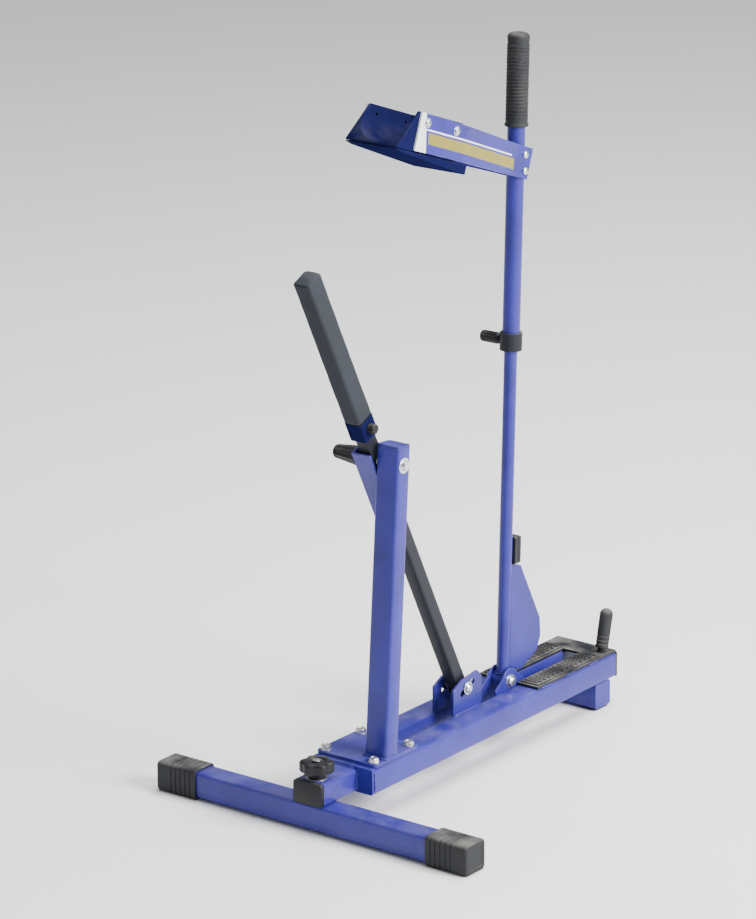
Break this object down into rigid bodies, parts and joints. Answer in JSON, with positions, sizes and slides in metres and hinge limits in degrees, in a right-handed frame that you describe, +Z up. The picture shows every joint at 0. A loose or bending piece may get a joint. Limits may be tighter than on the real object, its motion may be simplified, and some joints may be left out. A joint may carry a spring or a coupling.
{
  "type": "manual lever-arm pitching machine",
  "caption": "Hand-powered ball pitching machine: a pivoting lever arm with a ball scoop swings against a padded stop bar on a narrow tube base.",
  "frame": {"origin": "on the ground under the middle of the machine's bounding box", "axes": "+Z up, -Y the direction of the throw, +X the operator's left"},
  "size_m": [0.543, 0.6816, 1.0407],
  "materials": {
    "blue_paint": "glossy blue powder coat",
    "black_paint": "satin black powder coat",
    "navy_plastic": "moulded navy plastic, light grain",
    "black_plastic": "moulded black plastic",
    "black_rubber": "matt black rubber",
    "black_foam": "closed-cell foam sleeve with a fine skin",
    "zinc_steel": "zinc plated steel",
    "white_nylon": "natural nylon"
  },
  "bodies": {
    "base": {"base_rail_left": "blue_paint", "base_rail_right": "blue_paint", "rail_plug_left": "black_rubber", "rail_plug_right": "black_rubber", "front_tie_plate": "blue_paint", "front_saddle": "blue_paint", "saddle_end_cap": "black_plastic", "rear_foot_tube": "blue_paint", "rear_foot_pad_left": "black_rubber", "rear_foot_pad_right": "black_rubber", "post_foot_plate": "blue_paint", "upright_post": "blue_paint", "post_cap": "blue_paint", "head_bracket": "blue_paint", "head_bolt": "zinc_steel", "bar_foot_lug_left": "blue_paint", "bar_foot_lug_right": "blue_paint", "pivot_plate_left": "blue_paint", "pivot_plate_right": "blue_paint", "pivot_bush_left": "white_nylon", "pivot_bush_right": "white_nylon", "arm_pivot_pin": "zinc_steel", "arm_pivot_nut": "zinc_steel", "foot_plate": "black_paint", "grip_mat_left": "black_rubber", "grip_mat_right": "black_rubber", "heel_peg": "black_paint", "heel_sleeve": "black_rubber"},
    "front_foot": {"front_foot_tube": "blue_paint", "foot_boot_left": "black_rubber", "foot_boot_right": "black_rubber", "foot_clamp_nut": "zinc_steel"},
    "foot_clamp": {"foot_clamp_knob": "black_plastic", "foot_clamp_screw": "zinc_steel"},
    "stop_bar": {"stop_bar": "black_paint", "stop_pad": "black_foam", "bar_collar": "navy_plastic", "bar_collar_screw": "black_plastic", "bar_foot_bolt": "zinc_steel", "bar_foot_nut": "zinc_steel", "bar_spacer_left": "white_nylon", "bar_spacer_right": "white_nylon"},
    "bar_clamp": {"bar_clamp_knob": "black_plastic"},
    "arm": {"arm_hub": "blue_paint", "arm_lower_tube": "blue_paint", "arm_gusset": "blue_paint", "rear_bumper": "black_rubber"},
    "upper_arm": {"arm_upper_tube": "blue_paint", "slide_bush": "white_nylon", "arm_clamp_collar": "black_paint", "hand_grip": "black_rubber", "carrier_plate_left": "blue_paint", "carrier_plate_right": "blue_paint", "ball_cup": "navy_plastic", "cup_tongue": "navy_plastic", "carrier_bolt_lower": "zinc_steel", "carrier_bolt_upper": "zinc_steel"},
    "arm_clamp": {"arm_clamp_knob": "black_plastic", "arm_clamp_screw": "zinc_steel"}
  },
  "joints": [
    {"name": "foot_swivel", "type": "hinge", "parent": "base", "child": "front_foot", "pos_m": [0, -0.31625, 0.0416], "axis": [0, 0, 1], "range_deg": [-10, 10]},
    {"name": "foot_clamp_turn", "type": "hinge", "parent": "base", "child": "foot_clamp", "pos_m": [0, -0.31625, 0.0756], "axis": [0, 0, 1], "range_deg": [-180, 180]},
    {"name": "stop_bar_tilt", "type": "hinge", "parent": "base", "child": "stop_bar", "pos_m": [0, -0.18315, 0.503], "axis": [1, 0, 0], "range_deg": [-1.5, 1.5]},
    {"name": "bar_clamp_turn", "type": "hinge", "parent": "base", "child": "bar_clamp", "pos_m": [-0.019, -0.18315, 0.503], "axis": [1, 0, 0], "range_deg": [-180, 180]},
    {"name": "arm_swing", "type": "hinge", "parent": "base", "child": "arm", "pos_m": [0, 0.12145, 0.09], "axis": [1, 0, 0], "range_deg": [-80, 13]},
    {"name": "arm_extend", "type": "slide", "parent": "arm", "child": "upper_arm", "axis": [0, 0.0384, 0.9993], "range_m": [0, 0.06]},
    {"name": "arm_clamp_turn", "type": "hinge", "parent": "upper_arm", "child": "arm_clamp", "pos_m": [0, 0.14091, 0.59663], "axis": [1, 0, 0], "range_deg": [-180, 180]}
  ]
}
